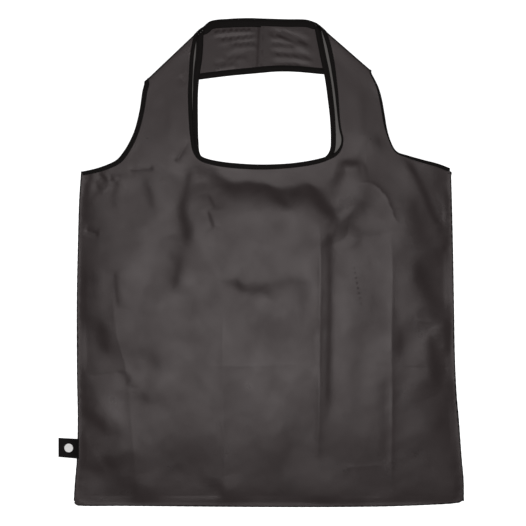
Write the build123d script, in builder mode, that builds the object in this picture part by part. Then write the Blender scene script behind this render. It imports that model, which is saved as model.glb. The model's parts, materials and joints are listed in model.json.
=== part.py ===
from build123d import *
import os

# A foldable shopping bag lying flat, front face up, in millimetres.
# +X is to the bag's right, +Y towards its handles, +Z up.
# The origin is the centre of the middle third's underside.
# Four parallel fold lines cut every piece that crosses them, so that each third can turn.

# Heights along Y
bottom_edge = -193.0
low_fold = -52.0
high_fold = 52.0
mouth_fold = 146.0
handle_fold = 231.0
band_top = 308.0
fold_gap = 0.6

# Pouch outline
bottom_half = 200.0
shoulder_half = 190.0
shoulder_y = 152.0
seam_width = 3.0

# Armholes and hand opening
armhole_corner = (138.0, 163.5)
strap_outer = (123.0, handle_fold)
armhole_radius = 45.0
neck_y = 158.0
neck_half = 70.0
neck_radius = 16.0
strap_start_y = 185.0
strap_end_y = 250.0
front_inner_half = 76.0
back_inner_half = 66.0

# Handles: each strap turns along a diagonal fold and runs to a centre seam as a band
fold_foot = Vector(120.5, 243.0)
fold_head = Vector(62.0, 302.0)
band_shoulder_half = 45.0
band_bottom_y = 252.0
band_hole_corner = (66.0, 249.0)
fold_wall = 0.8
back_inset = 1.6
centre_seam_width = 3.0

# Layers along Z
cloth = 0.6
tape = 0.4
tape_width = 5.0
pouch_gap = 4.2
front_z = cloth + pouch_gap
front_band_z = 0.0
back_band_z = 1.2
back_strap_z = 2.6
ramp_start_y = 170.0
ramp_end_y = 215.0

# Shoulder bartacks, side label and its plain disc
bartack_size = 4.0
label_low_y = -144.5
label_high_y = -124.0
label_reach = 17.0
label_z = 2.4
disc_radius = 4.5
disc_reach = 6.7
disc_height = 0.2

# Scratch sizes well past the bag on every side
far = 400.0
deep = 40.0

rows = {
    "bottom": (bottom_edge, low_fold - fold_gap / 2),
    "middle": (low_fold + fold_gap / 2, high_fold - fold_gap / 2),
    "upper": (high_fold + fold_gap / 2, mouth_fold - fold_gap / 2),
}
mouth_low = mouth_fold + fold_gap / 2
mouth_high = handle_fold - fold_gap / 2
handle_low = handle_fold + fold_gap / 2


def write(builder, name):
    builder.part.label = name
    export_step(builder.part, f"parts/{name}.step")


def side_x(y):
    """Half the pouch's width at height y: its sides are straight and draw in upwards."""
    share = (y - bottom_edge) / (shoulder_y - bottom_edge)
    return bottom_half + (shoulder_half - bottom_half) * share


def row_plan(low, high, inset=0.0):
    """The pouch between two heights, drawn in from both sides by inset."""
    low_half = side_x(low) - inset
    high_half = side_x(high) - inset
    with BuildSketch() as plan:
        with BuildLine():
            Polyline((-low_half, low), (low_half, low), (high_half, high), (-high_half, high), close=True)
        make_face()
    return plan.sketch


def armholes(grown=0.0):
    """The two regions outside the straps, each grown into the cloth by a distance."""
    shoulder = (shoulder_half, shoulder_y)
    slope = (armhole_corner[1] - shoulder[1]) / (armhole_corner[0] - shoulder[0])
    outside = (far, shoulder[1] + slope * (far - shoulder[0]))
    lean = (fold_foot.X - strap_outer[0]) / (fold_foot.Y - strap_outer[1])
    above = (strap_outer[0] + lean * (far - strap_outer[1]), far)
    with BuildSketch() as region:
        with BuildLine():
            edge = FilletPolyline(outside, armhole_corner, above, radius=armhole_radius)
            Polyline(edge @ 1, (far, far), edge @ 0)
        make_face()
        if grown > 0:
            offset(amount=grown)
        mirror(about=Plane.YZ)
    return region.sketch


def hand_hole(inner_half, grown=0.0):
    """The opening between neckline, straps and band, grown into the cloth by a distance."""
    with BuildSketch() as region:
        with BuildLine():
            Polyline(
                (-inner_half, strap_end_y),
                (-neck_half, strap_start_y),
                (-neck_half, neck_y),
                (neck_half, neck_y),
                (neck_half, strap_start_y),
                (inner_half, strap_end_y),
                close=True,
            )
        make_face()
        fillet(region.vertices().group_by(Axis.Y)[0], radius=neck_radius)
        if grown > 0:
            offset(amount=grown)
    return region.sketch


def mouth_plan(inner_half):
    """Neckline, shoulders and lower straps of one panel, seen from above."""
    with BuildSketch() as plan:
        add(row_plan(mouth_low, mouth_high))
        add(armholes(), mode=Mode.SUBTRACT)
        add(hand_hole(inner_half), mode=Mode.SUBTRACT)
    return plan.sketch


def past_fold(inset):
    """Everything past the right-hand diagonal fold line moved inwards by inset."""
    along = (fold_head - fold_foot).normalized()
    inward = along.rotate(Axis.Z, 90)
    foot = fold_foot - along * far + inward * inset
    head = fold_head + along * far + inward * inset
    with BuildSketch() as region:
        with BuildLine():
            Polyline(foot, head, head - inward * far, foot - inward * far, close=True)
        make_face()
    return region.sketch


def strap_plan(inner_half, inset):
    """The right-hand strap from the handle fold up to its diagonal fold."""
    lean = (inner_half - neck_half) / (strap_end_y - strap_start_y)
    foot_x = neck_half + lean * (handle_low - strap_start_y)
    with BuildSketch() as plan:
        with BuildLine():
            Polyline((foot_x, handle_low), strap_outer, fold_foot, (far, band_top))
            Polyline((far, band_top), (inner_half, band_top), (inner_half, strap_end_y))
            Line((inner_half, strap_end_y), (foot_x, handle_low))
        make_face()
        add(row_plan(handle_low, band_top), mode=Mode.INTERSECT)
        add(past_fold(inset), mode=Mode.SUBTRACT)
    return plan.sketch


def band_plan(inset):
    """The right-hand half of the band behind the strap, out to the same diagonal."""
    with BuildSketch() as plan:
        with BuildLine():
            Polyline(
                (0, band_bottom_y),
                band_hole_corner,
                fold_foot,
                fold_head,
                (band_shoulder_half, band_top),
                (0, band_top),
                close=True,
            )
        make_face()
        add(past_fold(inset), mode=Mode.SUBTRACT)
    return plan.sketch


def layer(plan, low, thick):
    """A flat layer of one plan between two heights, for use beside other layers."""
    with BuildPart() as slab:
        with BuildSketch(Plane.XY.offset(low)):
            add(plan)
        extrude(amount=thick)
    return slab.part


def back_profile(lift, thick):
    """Side view of the back panel, which climbs from the floor to the back straps' level."""
    with BuildSketch(Plane.YZ.offset(-far)) as profile:
        with BuildLine():
            Polyline(
                (mouth_low - deep, lift),
                (ramp_start_y, lift),
                (ramp_end_y, back_strap_z + lift),
                (mouth_high + deep, back_strap_z + lift),
                (mouth_high + deep, back_strap_z + lift + thick),
                (ramp_end_y, back_strap_z + lift + thick),
                (ramp_start_y, lift + thick),
                (mouth_low - deep, lift + thick),
                close=True,
            )
        make_face()
    return profile.sketch


def climbing_layer(plan, lift, thick):
    """A layer of one plan that lies on the climbing back panel."""
    with BuildPart() as slab:
        with BuildSketch(Plane.XY.offset(-deep)):
            add(plan)
        extrude(amount=2 * deep)
        add(back_profile(lift, thick))
        extrude(amount=2 * far, dir=(1, 0, 0), mode=Mode.INTERSECT)
    return slab.part


def one_side(plan, side):
    """The left (-1) or right (1) half of a plan."""
    with BuildSketch() as half:
        add(plan)
        with Locations((-side * far, 0)):
            Rectangle(2 * far, 4 * far, mode=Mode.SUBTRACT)
    return half.sketch


def make_panel(row, face, low, high, z):
    with BuildPart() as panel:
        with BuildSketch(Plane.XY.offset(z)):
            add(row_plan(low, high))
        extrude(amount=cloth)
    write(panel, f"{face}_panel_{row}")


def make_side_seam(row, hand, side, low, high):
    with BuildPart() as seam:
        with BuildSketch(Plane.XY.offset(cloth)):
            add(one_side(row_plan(low, high), side))
            add(row_plan(low, high, seam_width), mode=Mode.SUBTRACT)
        extrude(amount=pouch_gap)
    write(seam, f"side_seam_{hand}_{row}")


def make_bottom_seam():
    half = side_x(bottom_edge + seam_width) - seam_width
    with BuildPart() as bottom_seam:
        with BuildSketch(Plane.XY.offset(cloth)):
            with Locations((0, bottom_edge + seam_width / 2)):
                Rectangle(2 * half, seam_width)
        extrude(amount=pouch_gap)
    write(bottom_seam, "bottom_seam")


def make_mouth_panels():
    with BuildPart() as front_mouth:
        add(layer(mouth_plan(front_inner_half), front_z, cloth))
    write(front_mouth, "front_panel_mouth")
    with BuildPart() as back_mouth:
        add(climbing_layer(mouth_plan(back_inner_half), 0, cloth))
    write(back_mouth, "back_panel_mouth")


def make_neck_bindings():
    with BuildSketch() as front_ribbon:
        add(hand_hole(front_inner_half, tape_width))
        add(mouth_plan(front_inner_half), mode=Mode.INTERSECT)
    with BuildPart() as front_neck_binding:
        add(layer(front_ribbon.sketch, front_z + cloth, tape))
    write(front_neck_binding, "front_neck_binding")
    with BuildSketch() as back_ribbon:
        add(hand_hole(back_inner_half, tape_width))
        add(mouth_plan(back_inner_half), mode=Mode.INTERSECT)
    with BuildPart() as back_neck_binding:
        add(climbing_layer(back_ribbon.sketch, cloth, tape))
    write(back_neck_binding, "back_neck_binding")


def make_armhole_bindings(hand, side):
    with BuildSketch() as ribbon:
        add(armholes(tape_width))
        add(mouth_plan(back_inner_half), mode=Mode.INTERSECT)
    with BuildPart() as front_binding:
        add(layer(one_side(ribbon.sketch, side), front_z + cloth, tape))
    write(front_binding, f"front_armhole_binding_{hand}")
    with BuildPart() as back_binding:
        add(climbing_layer(one_side(ribbon.sketch, side), cloth, tape))
    write(back_binding, f"back_armhole_binding_{hand}")


def make_shoulder_bartack(hand, side):
    centre_x = side_x(mouth_low + bartack_size) - bartack_size / 2
    centre_y = shoulder_y - 1 - bartack_size / 2
    with BuildPart() as bartack:
        with BuildSketch(Plane.XY.offset(cloth + tape)):
            with Locations((side * centre_x, centre_y)):
                Rectangle(bartack_size, bartack_size)
        extrude(amount=pouch_gap - tape)
    write(bartack, f"shoulder_bartack_{hand}")


def handle_half(inner_half, inset, strap_z, band_z):
    """The right-hand half of one handle: strap, diagonal fold and band in one piece of cloth."""
    strap = strap_plan(inner_half, inset)
    band = band_plan(inset)
    with BuildSketch() as wall:
        add(strap)
        add(band)
        add(past_fold(inset + fold_wall), mode=Mode.INTERSECT)
    with BuildPart() as half:
        add(layer(strap, strap_z, cloth))
        add(layer(band, band_z, cloth))
        add(layer(wall.sketch, band_z, strap_z + cloth - band_z))
    return half.part


def make_handle(face, inner_half, inset, strap_z, band_z):
    right = handle_half(inner_half, inset, strap_z, band_z)
    with BuildPart() as handle_right:
        add(right)
    write(handle_right, f"{face}_handle_right")
    with BuildPart() as handle_left:
        add(right.mirror(Plane.YZ))
    write(handle_left, f"{face}_handle_left")
    with BuildPart() as centre_seam:
        with BuildSketch(Plane.XY.offset(band_z + cloth)):
            with Locations((0, (band_bottom_y + band_top) / 2)):
                Rectangle(centre_seam_width, band_top - band_bottom_y - 2 * tape_width - 1)
        extrude(amount=tape)
    write(centre_seam, f"{face}_handle_centre_seam")


def make_handle_bindings(face, inner_half, inset, strap_z, band_z):
    """The inner tape runs up the strap's inner edge and along the band's top edge,
    and the outer tape up the strap's outer edge and along the band's bottom edge."""
    strap = strap_plan(inner_half, inset)
    with BuildSketch() as band:
        add(band_plan(inset))
        add(past_fold(inset + fold_wall), mode=Mode.SUBTRACT)
    with BuildSketch() as strap_inner:
        add(strap)
        with Locations((inner_half + far / 2 + tape_width, 0)):
            Rectangle(far, 4 * far, mode=Mode.SUBTRACT)
    with BuildSketch() as strap_outer_edge:
        add(strap)
        add(armholes(tape_width), mode=Mode.INTERSECT)
        add(strap_inner.sketch, mode=Mode.SUBTRACT)
    with BuildSketch() as band_inner:
        add(band.sketch)
        with Locations((0, band_top - tape_width - far / 2)):
            Rectangle(2 * fold_head.X, far, mode=Mode.SUBTRACT)
        with Locations((fold_head.X + far / 2, 0)):
            Rectangle(far, 4 * far, mode=Mode.SUBTRACT)
    with BuildSketch() as band_outer:
        add(band.sketch)
        with BuildLine():
            Polyline(
                (0, band_bottom_y + tape_width),
                (band_hole_corner[0], band_hole_corner[1] + tape_width),
                (fold_foot.X, fold_foot.Y + tape_width),
                (far, fold_foot.Y),
                (far, far),
                (0, far),
                close=True,
            )
        make_face(mode=Mode.SUBTRACT)
    edges = {"inner": (strap_inner, band_inner), "outer": (strap_outer_edge, band_outer)}
    for edge, (on_strap, on_band) in edges.items():
        with BuildPart() as binding:
            add(layer(on_strap.sketch, strap_z + cloth, tape))
            add(layer(on_band.sketch, band_z + cloth, tape))
            mirror(about=Plane.YZ)
        write(binding, f"{face}_handle_{edge}_binding")


def make_label():
    with BuildPart() as side_label:
        with BuildSketch(Plane.XY.offset(label_z)):
            with BuildLine():
                Polyline(
                    (-side_x(label_low_y), label_low_y),
                    (-side_x(label_high_y), label_high_y),
                    (-side_x(label_high_y) - label_reach, label_high_y),
                    (-side_x(label_low_y) - label_reach, label_low_y),
                    close=True,
                )
            make_face()
        extrude(amount=cloth)
    write(side_label, "side_label")
    disc_y = (label_low_y + label_high_y) / 2
    with BuildPart() as label_disc:
        with BuildSketch(Plane.XY.offset(label_z + cloth)):
            with Locations((-side_x(disc_y) - disc_reach, disc_y)):
                Circle(disc_radius)
        extrude(amount=disc_height)
    write(label_disc, "label_disc")


os.makedirs("parts", exist_ok=True)
hands = {"left": -1, "right": 1}

for row, (low, high) in rows.items():
    make_panel(row, "front", low, high, front_z)
    make_panel(row, "back", low, high, 0)
    for hand, side in hands.items():
        make_side_seam(row, hand, side, low, high)
make_bottom_seam()
make_label()

make_mouth_panels()
make_neck_bindings()
for hand, side in hands.items():
    make_armhole_bindings(hand, side)
    make_shoulder_bartack(hand, side)

make_handle("front", front_inner_half, 0, front_z, front_band_z)
make_handle("back", back_inner_half, back_inset, back_strap_z, back_band_z)
make_handle_bindings("front", front_inner_half, 0, front_z, front_band_z)
make_handle_bindings("back", back_inner_half, back_inset, back_strap_z, back_band_z)
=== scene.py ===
import json
import math

import bpy
import numpy as np
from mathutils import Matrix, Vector
from mathutils.geometry import delaunay_2d_cdt


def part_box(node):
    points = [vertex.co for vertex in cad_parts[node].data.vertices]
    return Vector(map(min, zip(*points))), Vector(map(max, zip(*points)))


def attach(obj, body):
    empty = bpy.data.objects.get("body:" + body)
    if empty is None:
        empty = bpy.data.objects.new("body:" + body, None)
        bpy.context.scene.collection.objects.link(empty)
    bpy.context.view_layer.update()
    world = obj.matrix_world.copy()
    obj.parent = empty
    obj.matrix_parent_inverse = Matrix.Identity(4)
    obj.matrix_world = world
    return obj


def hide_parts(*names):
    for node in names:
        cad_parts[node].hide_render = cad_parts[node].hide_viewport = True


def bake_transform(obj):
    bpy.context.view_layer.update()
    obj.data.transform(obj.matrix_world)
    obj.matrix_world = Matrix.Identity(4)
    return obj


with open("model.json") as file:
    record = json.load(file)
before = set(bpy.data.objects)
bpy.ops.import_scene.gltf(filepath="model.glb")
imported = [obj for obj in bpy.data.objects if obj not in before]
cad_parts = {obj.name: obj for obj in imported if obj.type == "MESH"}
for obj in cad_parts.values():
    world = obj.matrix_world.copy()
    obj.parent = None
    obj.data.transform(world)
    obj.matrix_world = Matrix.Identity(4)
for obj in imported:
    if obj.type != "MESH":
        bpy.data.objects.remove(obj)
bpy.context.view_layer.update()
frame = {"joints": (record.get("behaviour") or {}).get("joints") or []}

# Everything below is in millimetres in the CAD frame, and becomes metres where a mesh is made.
MM = 0.001
joint_y = {j["name"]: j["pos_m"][1] / MM for j in frame["joints"]}
LOW_FOLD = joint_y["bottom_fold"]
HIGH_FOLD = joint_y["upper_fold"]
MOUTH_FOLD = joint_y["mouth_fold"]
HANDLE_FOLD = joint_y["handles_fold"]
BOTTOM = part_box("bottom_seam")[0].y / MM
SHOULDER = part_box("shoulder_bartack_right")[1].y / MM
BAND_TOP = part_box("front_handle_left")[1].y / MM

# Each sheet is cut halfway between two folds, so that every piece crosses one joint.
CUT_MIDDLE = (LOW_FOLD + HIGH_FOLD) / 2
CUT_UPPER = (HIGH_FOLD + MOUTH_FOLD) / 2
CUT_STRAP = (MOUTH_FOLD + HANDLE_FOLD) / 2 + 1.5

CLOTH = 0.3
# Spacing of the mesh in the front and in the back, and its rows of faces round a diagonal fold.
FINE = 2.0
COARSE = 3.0
FOLD_ROWS = 6


# ---- curves and outlines

def through(points, step=2.0):
    """Points about step apart on a smooth curve through the given points."""
    p = np.array(points, float)
    p = np.vstack([2 * p[0] - p[1], p, 2 * p[-1] - p[-2]])
    out = []
    for a, b, c, d in zip(p, p[1:], p[2:], p[3:]):
        length = np.linalg.norm(c - b)
        start = (c - a) / np.linalg.norm(c - a) * length
        end = (d - b) / np.linalg.norm(d - b) * length
        count = max(1, round(length / step))
        t = (np.arange(count) / count)[:, None]
        out.append(
            b * (2 * t**3 - 3 * t**2 + 1) + start * (t**3 - 2 * t**2 + t)
            + c * (3 * t**2 - 2 * t**3) + end * (t**3 - t**2)
        )
    return np.vstack([*out, p[-2]])


def run_along(path):
    """How far along a path each of its points is."""
    return np.concatenate([[0], np.cumsum(np.linalg.norm(np.diff(path, axis=0), axis=1))])


def from_segment(p, a, b):
    """How far along a segment points are, as a share of it, and how far away from it."""
    d = b - a
    share = np.clip((p - a) @ d / (d @ d), 0, 1)
    off = p - a - share[:, None] * d
    return share, np.hypot(off[:, 0], off[:, 1])


def clip(polygon, axis, value, keep_above):
    """The part of a polygon on one side of a line across X (axis 0) or Y (axis 1)."""
    sign = 1 if keep_above else -1
    out = []
    for a, b in zip(polygon, np.roll(polygon, -1, axis=0)):
        da, db = sign * (a[axis] - value), sign * (b[axis] - value)
        if da >= 0:
            out.append(a)
        if da * db < 0:
            out.append(a + (b - a) * da / (da - db))
    return np.array(out)


def densify(polygon, step):
    """The polygon again with no edge much longer than step."""
    out = []
    for a, b in zip(polygon, np.roll(polygon, -1, axis=0)):
        n = max(1, round(np.linalg.norm(b - a) / step))
        out += [a + (b - a) * i / n for i in range(n)]
    return np.array(out)


# The pouch's sides and bottom, then the armholes.
SIDE_LEFT = through([
    (-198.8, BOTTOM + 3.0), (-197.6, -170), (-195.6, -146), (-194.6, -105), (-195.4, -60),
    (-195.6, 18), (-194.4, 80), (-193.2, 121), (-191.2, SHOULDER - 0.5),
])
SIDE_RIGHT = through([
    (201.6, BOTTOM + 6.0), (201.3, -167), (199.4, -146), (196.4, -105), (194.2, -80),
    (192.4, -43), (191.3, 18), (190.2, 80), (189.2, 121), (188.2, SHOULDER + 3.0),
])
BOTTOM_EDGE = through([
    (-198.8, BOTTOM + 3.0), (-196, BOTTOM + 0.3), (-150, BOTTOM), (0, BOTTOM - 1.2),
    (110, BOTTOM - 0.8), (170, BOTTOM + 1.2), (197, BOTTOM + 3.2), (201.6, BOTTOM + 6.0),
])
ARMHOLE_LEFT = through([
    (-191.2, SHOULDER - 0.5), (-178, 153.4), (-166.5, 157.2), (-155.5, 162.6), (-148.6, 170.5),
    (-142.2, 181), (-136.4, 194.5), (-131.6, 214), (-128.6, 234), (-126.6, 241.3),
])
ARMHOLE_RIGHT = through([
    (188.2, SHOULDER + 3.0), (176, 158.6), (160.3, 162.7), (143.8, 167.4), (133, 171.4),
    (127.2, 181), (123.3, 193.6), (120.8, 208), (117.8, 225), (114.0, 238), (106.5, 253.0),
])


class Strap:
    """One side's straps: where each turns back along a diagonal and how far its band reaches."""

    def __init__(self, side, foot, head, radius):
        self.side = side
        self.foot = np.array(foot, float)
        self.along = (np.array(head) - foot) / np.linalg.norm(np.array(head) - foot)
        self.out = side * np.array([self.along[1], -self.along[0]])
        self.radius = radius

    def past(self, p):
        """How far points lie beyond the diagonal fold in the flat pattern."""
        return (p - self.foot) @ self.out

    def unfold(self, points):
        """Where points on the folded band lie in the flat pattern."""
        p = np.array(points, float)
        return p + (math.pi * self.radius - 2 * self.past(p))[:, None] * self.out

    def refold(self, p):
        """Where flat pattern points beyond the fold lie on the band."""
        return p - (2 * self.past(p) - math.pi * self.radius)[:, None] * self.out


# The band's centre seam, and how tightly the front and back straps turn at their diagonals.
SEAM_TOP, SEAM_LOW = (-6.3, BAND_TOP - 0.8), (-8.8, 253.9)
FRONT_RADIUS, BACK_RADIUS = 1.6, 0.6
FRONT_STRAPS = {
    "left": Strap(-1, (-126.6, 241.3), (-66.6, 298.2), FRONT_RADIUS),
    "right": Strap(1, (106.5, 253.0), (48.0, 304.0), FRONT_RADIUS),
}
BACK_STRAPS = {
    "left": Strap(-1, (-126.0, 240.3), (-66.0, 297.2), BACK_RADIUS),
    "right": Strap(1, (106.0, 252.0), (47.5, 303.0), BACK_RADIUS),
}
BAND_LOWER = {
    "left": [(-116, 241.4), (-92, 244.4), (-70.5, 247.2), (-40, 251.0), SEAM_LOW],
    "right": [(96, 250.2), (78, 251.6), (57.9, 252.7), (29.2, 255.2), (9.3, 255.4), SEAM_LOW],
}
BAND_UPPER = {
    "left": [(-66.6, 298.2), (-58.5, 304.6), (-40.2, 306.8), (-20, 307.6), SEAM_TOP],
    "right": [(48.0, 303.6), (40, 306.0), (20, 306.4), SEAM_TOP],
}
FRONT_INNER = {
    "left": [(-72.4, 292.4), (-75.8, 274), (-77.4, 250), (-78.0, 230), (-77.2, 204), (-75.6, 183)],
    "right": [(56.2, 296.8), (62.2, 277), (69.2, 237), (72.4, 209), (74.2, 195), (76.6, 182)],
}
BACK_INNER = {
    "left": [(-66.2, 297.0), (-67.4, 270), (-70.6, 248), (-71.9, 230), (-71.9, 200), (-71.4, 182)],
    "right": [(48.2, 302.4), (54.6, 270), (59.4, 247), (62.6, 224), (64.8, 204), (65.6, 183)],
}
FRONT_NECK = [
    (-72.2, 171), (-66.0, 165.2), (-49.0, 161.0), (-28.4, 158.8), (-5.7, 157.8), (18, 158.6),
    (33.5, 160.2), (49.4, 163.0), (62, 166.6), (71.5, 171.5),
]
BACK_NECK = [
    (-69.4, 168), (-62, 162.6), (-47, 159.2), (-28.4, 157.2), (-5.7, 156.4), (18, 157.0),
    (33.5, 158.4), (49.4, 161.2), (60, 166.0), (64.6, 173.0),
]


def panel_outline(straps, inner, neck, spread):
    """Flat pattern of one panel with both its straps and their halves of the handle band."""
    upper, lower = {}, {}
    for hand in ("left", "right"):
        strap = straps[hand]
        shift = np.array([0, spread])
        upper[hand] = strap.unfold(through(BAND_UPPER[hand]) + shift)
        lower[hand] = strap.unfold(through(BAND_LOWER[hand]) - shift)
    neckline = through([*inner["left"], *neck, *inner["right"][::-1]])
    return {
        "armhole_right": np.vstack([ARMHOLE_RIGHT, lower["right"]]),
        "neck": np.vstack([upper["left"][::-1], neckline, upper["right"]]),
        "armhole_left": np.vstack([ARMHOLE_LEFT, lower["left"]]),
    }


def whole_outline(edges):
    """The closed outline of one panel, anticlockwise from the bottom left corner."""
    return np.vstack([
        BOTTOM_EDGE[:-1], SIDE_RIGHT[:-1], edges["armhole_right"], edges["neck"][::-1],
        edges["armhole_left"][::-1][:-1], SIDE_LEFT[::-1][:-1],
    ])


FRONT_EDGES = panel_outline(FRONT_STRAPS, FRONT_INNER, FRONT_NECK, 1.3)
BACK_EDGES = panel_outline(BACK_STRAPS, BACK_INNER, BACK_NECK, 0.0)


# ---- heights of the cloth

def smooth(t):
    t = np.clip(t, 0, 1)
    return t * t * (3 - 2 * t)


def side_at(line, y):
    """Where a side edge is at height y."""
    order = np.argsort(line[:, 1])
    return np.interp(y, line[order, 1], line[order, 0])


def waves(seed, count, shortest, longest, steepness):
    """A seeded sum of plane waves whose height grows with their length."""
    draw = np.random.default_rng(seed)
    length = np.exp(draw.uniform(math.log(shortest), math.log(longest), count))
    angle = draw.uniform(0, math.pi, count)
    return np.stack([
        np.cos(angle) * 2 * math.pi / length, np.sin(angle) * 2 * math.pi / length,
        draw.uniform(0, 2 * math.pi, count), length * steepness / math.sqrt(count),
    ], axis=1)


def wave_height(table, x, y):
    total = np.zeros_like(x)
    for kx, ky, phase, height in table:
        total += height * np.sin(kx * x + ky * y + phase)
    return total


BROAD = waves(11, 14, 60, 170, 0.0036)
SMALL = waves(12, 26, 12, 36, 0.0013)
BACK_WAVES = waves(13, 16, 40, 120, 0.006)


def stroke_height(kind, height, width, line, x, y):
    """Height that one wrinkle adds at x, y. Its line is a smooth run of points.
    valley and ridge are rounded and crease is sharp. shade and shine are folds with one steep side,
    which faces away from the bag's brightest place or towards it."""
    reach = 2.8 * width if kind in ("valley", "ridge") else 5 * width
    low, high = line.min(0) - reach, line.max(0) + reach
    near = np.flatnonzero((x > low[0]) & (x < high[0]) & (y > low[1]) & (y < high[1]))
    out = np.zeros_like(x)
    if not len(near):
        return out
    p = np.stack([x[near], y[near]], axis=1)
    along = line[-1] - line[0]
    bright = BRIGHT_SPOT - line[len(line) // 2]
    toward = np.sign(along[0] * bright[1] - along[1] * bright[0])
    run = run_along(line)
    distances, places, sides = [], [], []
    for i, (a, b) in enumerate(zip(line, line[1:])):
        share, distance = from_segment(p, a, b)
        distances.append(distance)
        places.append(run[i] + share * (run[i + 1] - run[i]))
        sides.append((b - a)[0] * (p[:, 1] - a[1]) - (b - a)[1] * (p[:, 0] - a[0]))
    distances = np.array(distances)
    best = distances.min(0)
    nearest = distances.argmin(0)
    signed = np.sign(np.array(sides)[nearest, np.arange(len(p))]) * toward * best
    # the share of the way along is a blend over near parts, so it doesn't jump inside a curve
    weight = np.exp((best - distances) / (0.12 * best + 0.3))
    share = (weight * np.array(places)).sum(0) / weight.sum(0) / run[-1]
    ends = min(0.5, max(0.22, 2.2 * width / run[-1]))
    fade = smooth(share / ends) * smooth((1 - share) / ends)
    if kind == "crease":
        shape = np.exp(-np.sqrt(best**2 + 0.35**2) / width)
    elif kind in ("shade", "shine"):
        shape = np.tanh(signed / width) * np.exp(-best / (2.6 * width))
        shape = shape * (0.7 if kind == "shade" else -0.7)
    else:
        shape = np.exp(-((best / width) ** 2))
    out[near] = height * fade * shape * smooth((reach - best) / (0.6 * reach))
    return out


# The place on flat cloth where the lamp over the bag is mirrored, so where the bag is brightest.
BRIGHT_SPOT = np.array([-25.0, 15.0])

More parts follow.
